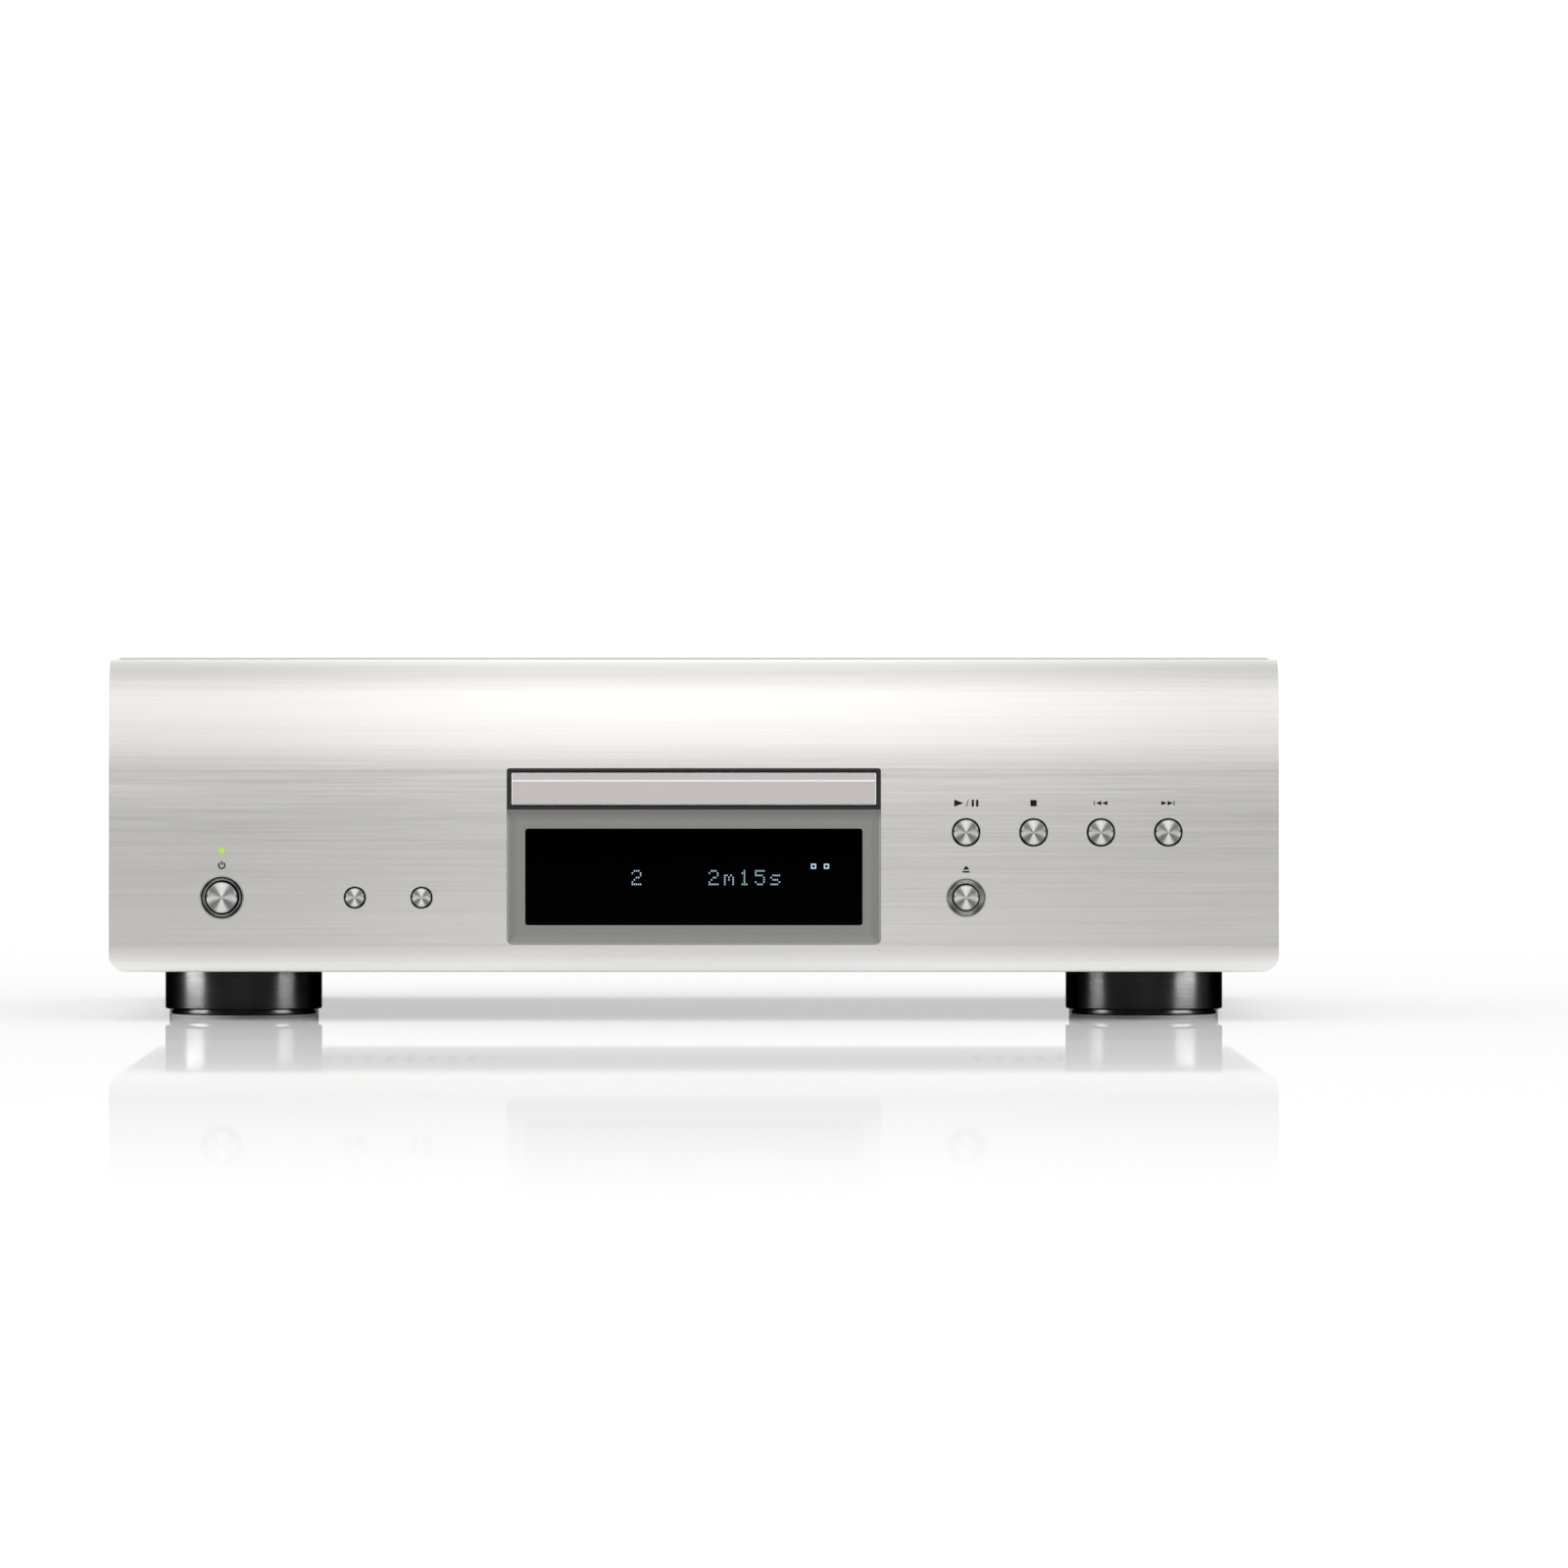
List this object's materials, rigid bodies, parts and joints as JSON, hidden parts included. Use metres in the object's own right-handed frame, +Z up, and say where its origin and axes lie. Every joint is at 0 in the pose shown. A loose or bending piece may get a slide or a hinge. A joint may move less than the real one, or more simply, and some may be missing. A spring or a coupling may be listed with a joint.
{
  "type": "cd player",
  "caption": "Full-width silver hi-fi CD player with a rolled aluminium front, sliding disc tray, lit display, sprung buttons, round feet and a gear-driven loader.",
  "frame": {"origin": "centre of the bounding box at the level of the feet", "axes": "+X to the right seen from the front, +Y towards the back, +Z up; the front panel faces -Y"},
  "size_m": [0.434, 0.329, 0.135],
  "materials": {
    "panel_aluminium": "fine horizontal brushing, satin clear anodised",
    "door_aluminium": "fine bead-blasted, bevelled bright edges",
    "button_aluminium": "turned face with circular grain, polished bevel",
    "ring_aluminium": "turned and dished, polished",
    "black_trim": "fine satin black moulding",
    "bezel_grey": "satin metallic grey paint on plastic",
    "window_black": "polished smoked acrylic",
    "lamp_green": "clear light guide, lit yellow-green",
    "cover_paint": "silver paint with a fine grain over folded sheet steel",
    "rear_paint": "dark textured paint",
    "zinc_steel": "zinc-plated sheet steel",
    "foot_black": "turned black, satin with circular grain",
    "pad_rubber": "dense soft foam rubber",
    "black_screw": "black oxide",
    "zinc_screw": "bright zinc",
    "loader_plastic": "black glass-filled moulding",
    "tray_plastic": "fine matt black moulding",
    "gear_white": "natural acetal",
    "cam_white": "natural acetal",
    "belt_rubber": "smooth black rubber",
    "motor_steel": "drawn and plated can",
    "traverse_plastic": "grey-black glass-filled moulding",
    "rod_steel": "ground and polished rod",
    "pickup_plastic": "black moulding",
    "lens_glass": "coated moulded lens",
    "pinion_brass": "machined brass",
    "bridge_steel": "plated pressed steel",
    "puck_white": "natural acetal",
    "transformer_core": "varnished laminations with a taped winding",
    "power_board_green": "solder-masked board",
    "board_green": "solder-masked board",
    "capacitor_sleeve": "shrink sleeve",
    "cable_white": "flat flexible cable",
    "tube_glass": "dark vacuum tube glass over phosphor segments",
    "switch_black": "moulded switch body",
    "gold_shell": "gold-plated turned shell",
    "insulator": "coloured moulded insulator",
    "socket_black": "moulded socket"
  },
  "bodies": {
    "cabinet": {"front_panel": "panel_aluminium", "tray_surround": "black_trim", "display_frame": "bezel_grey", "display_window": "window_black", "button_rings": "ring_aluminium", "power_lamp": "lamp_green", "button_collars": "black_trim", "tact_switches": "switch_black", "front_boards": "board_green", "display_tube": "tube_glass", "top_cover": "cover_paint", "bottom_chassis": "zinc_steel", "rear_panel": "rear_paint", "front_subframe": "zinc_steel", "foot_front_left": "foot_black", "foot_front_right": "foot_black", "foot_rear_left": "foot_black", "foot_rear_right": "foot_black", "foot_pads": "pad_rubber", "cover_screws": "black_screw", "chassis_screws": "zinc_screw", "loader_frame": "loader_plastic", "loader_bracket": "zinc_steel", "drive_belt": "belt_rubber", "loading_motor": "motor_steel", "clamp_bridge": "bridge_steel", "transformer": "transformer_core", "power_board": "power_board_green", "capacitors": "capacitor_sleeve", "main_boards": "board_green", "ribbon_cables": "cable_white", "phono_shells": "gold_shell", "phono_insulators": "insulator", "socket_block": "socket_black", "ac_inlet": "socket_black"},
    "tray": {"disc_tray": "tray_plastic", "tray_door": "door_aluminium"},
    "drive_gear": {"drive_gear": "gear_white"},
    "pulley_gear": {"pulley_gear": "gear_white"},
    "motor_pulley": {"motor_pulley": "gear_white"},
    "cam_slider": {"cam_slider": "cam_white"},
    "traverse": {"traverse_frame": "traverse_plastic", "spindle_motor": "motor_steel", "guide_rods": "rod_steel", "sled_motor": "motor_steel"},
    "turntable": {"turntable": "loader_plastic"},
    "pickup": {"pickup": "pickup_plastic"},
    "pickup_lens": {"pickup_lens": "lens_glass"},
    "sled_gear": {"sled_gear": "gear_white"},
    "sled_pinion": {"sled_pinion": "pinion_brass"},
    "clamp_puck": {"clamp_puck": "puck_white"},
    "optical_flap": {"optical_flap": "socket_black"},
    "power_button": {"power_button": "button_aluminium"},
    "layer_button": {"layer_button": "button_aluminium"},
    "direct_button": {"direct_button": "button_aluminium"},
    "play_button": {"play_button": "button_aluminium"},
    "stop_button": {"stop_button": "button_aluminium"},
    "previous_button": {"previous_button": "button_aluminium"},
    "next_button": {"next_button": "button_aluminium"},
    "eject_button": {"eject_button": "button_aluminium"}
  },
  "joints": [
    {"name": "tray_slide", "type": "slide", "parent": "cabinet", "child": "tray", "axis": [0, -1, 0], "range_m": [0, 0.138]},
    {"name": "drive_gear_spin", "type": "hinge", "parent": "cabinet", "child": "drive_gear", "pos_m": [0.041, -0.131, 0.08], "axis": [0, 0, -1], "range_deg": [0, 660]},
    {"name": "pulley_gear_spin", "type": "hinge", "parent": "cabinet", "child": "pulley_gear", "pos_m": [0.0234, -0.131, 0.075], "axis": [0, 0, 1], "range_deg": [0, 1760]},
    {"name": "motor_pulley_spin", "type": "hinge", "parent": "cabinet", "child": "motor_pulley", "pos_m": [-0.026, -0.131, 0.073], "axis": [0, 0, 1], "range_deg": [0, 5180]},
    {"name": "cam_slide", "type": "slide", "parent": "cabinet", "child": "cam_slider", "axis": [1, 0, 0], "range_m": [0, 0.024]},
    {"name": "traverse_tilt", "type": "hinge", "parent": "cabinet", "child": "traverse", "pos_m": [0, 0.005, 0.074], "axis": [1, 0, 0], "range_deg": [0, 5.1]},
    {"name": "spindle_spin", "type": "hinge", "parent": "traverse", "child": "turntable", "pos_m": [0, -0.092, 0.086], "axis": [0, 0, -1], "continuous": true},
    {"name": "clamp_spin", "type": "hinge", "parent": "cabinet", "child": "clamp_puck", "pos_m": [0, -0.092, 0.095], "axis": [0, 0, -1], "continuous": true},
    {"name": "pickup_slide", "type": "slide", "parent": "traverse", "child": "pickup", "axis": [0, 1, 0], "range_m": [0, 0.034]},
    {"name": "lens_focus", "type": "slide", "parent": "pickup", "child": "pickup_lens", "axis": [0, 0, 1], "range_m": [-0.0004, 0.0004], "stiffness_N_per_m": 200},
    {"name": "sled_gear_spin", "type": "hinge", "parent": "traverse", "child": "sled_gear", "pos_m": [0.036, -0.06, 0.069], "axis": [0, 0, -1], "range_deg": [0, 330]},
    {"name": "sled_pinion_spin", "type": "hinge", "parent": "traverse", "child": "sled_pinion", "pos_m": [0.036, -0.0495, 0.068], "axis": [0, 0, 1], "range_deg": [0, 830]},
    {"name": "optical_flap_swing", "type": "hinge", "parent": "cabinet", "child": "optical_flap", "pos_m": [-0.02, 0.1519, 0.096], "axis": [-1, 0, 0], "range_deg": [0, 85], "stiffness_Nm_per_rad": 0.002},
    {"name": "power_button_press", "type": "slide", "parent": "cabinet", "child": "power_button", "axis": [0, 1, 0], "range_m": [0, 0.001], "stiffness_N_per_m": 800},
    {"name": "layer_button_press", "type": "slide", "parent": "cabinet", "child": "layer_button", "axis": [0, 1, 0], "range_m": [0, 0.001], "stiffness_N_per_m": 800},
    {"name": "direct_button_press", "type": "slide", "parent": "cabinet", "child": "direct_button", "axis": [0, 1, 0], "range_m": [0, 0.001], "stiffness_N_per_m": 800},
    {"name": "play_button_press", "type": "slide", "parent": "cabinet", "child": "play_button", "axis": [0, 1, 0], "range_m": [0, 0.001], "stiffness_N_per_m": 800},
    {"name": "stop_button_press", "type": "slide", "parent": "cabinet", "child": "stop_button", "axis": [0, 1, 0], "range_m": [0, 0.001], "stiffness_N_per_m": 800},
    {"name": "previous_button_press", "type": "slide", "parent": "cabinet", "child": "previous_button", "axis": [0, 1, 0], "range_m": [0, 0.001], "stiffness_N_per_m": 800},
    {"name": "next_button_press", "type": "slide", "parent": "cabinet", "child": "next_button", "axis": [0, 1, 0], "range_m": [0, 0.001], "stiffness_N_per_m": 800},
    {"name": "eject_button_press", "type": "slide", "parent": "cabinet", "child": "eject_button", "axis": [0, 1, 0], "range_m": [0, 0.001], "stiffness_N_per_m": 800}
  ],
  "couplings": [
    {"joint": "drive_gear_spin", "follows": "tray_slide", "rad_per_m": 83.333},
    {"joint": "pulley_gear_spin", "follows": "tray_slide", "rad_per_m": 222.22},
    {"joint": "motor_pulley_spin", "follows": "tray_slide", "rad_per_m": 654.32},
    {"joint": "traverse_tilt", "follows": "cam_slide", "rad_per_m": 3.6361},
    {"joint": "clamp_spin", "follows": "spindle_spin", "ratio": 1},
    {"joint": "sled_gear_spin", "follows": "pickup_slide", "rad_per_m": 166.67},
    {"joint": "sled_pinion_spin", "follows": "pickup_slide", "rad_per_m": 416.67}
  ]
}
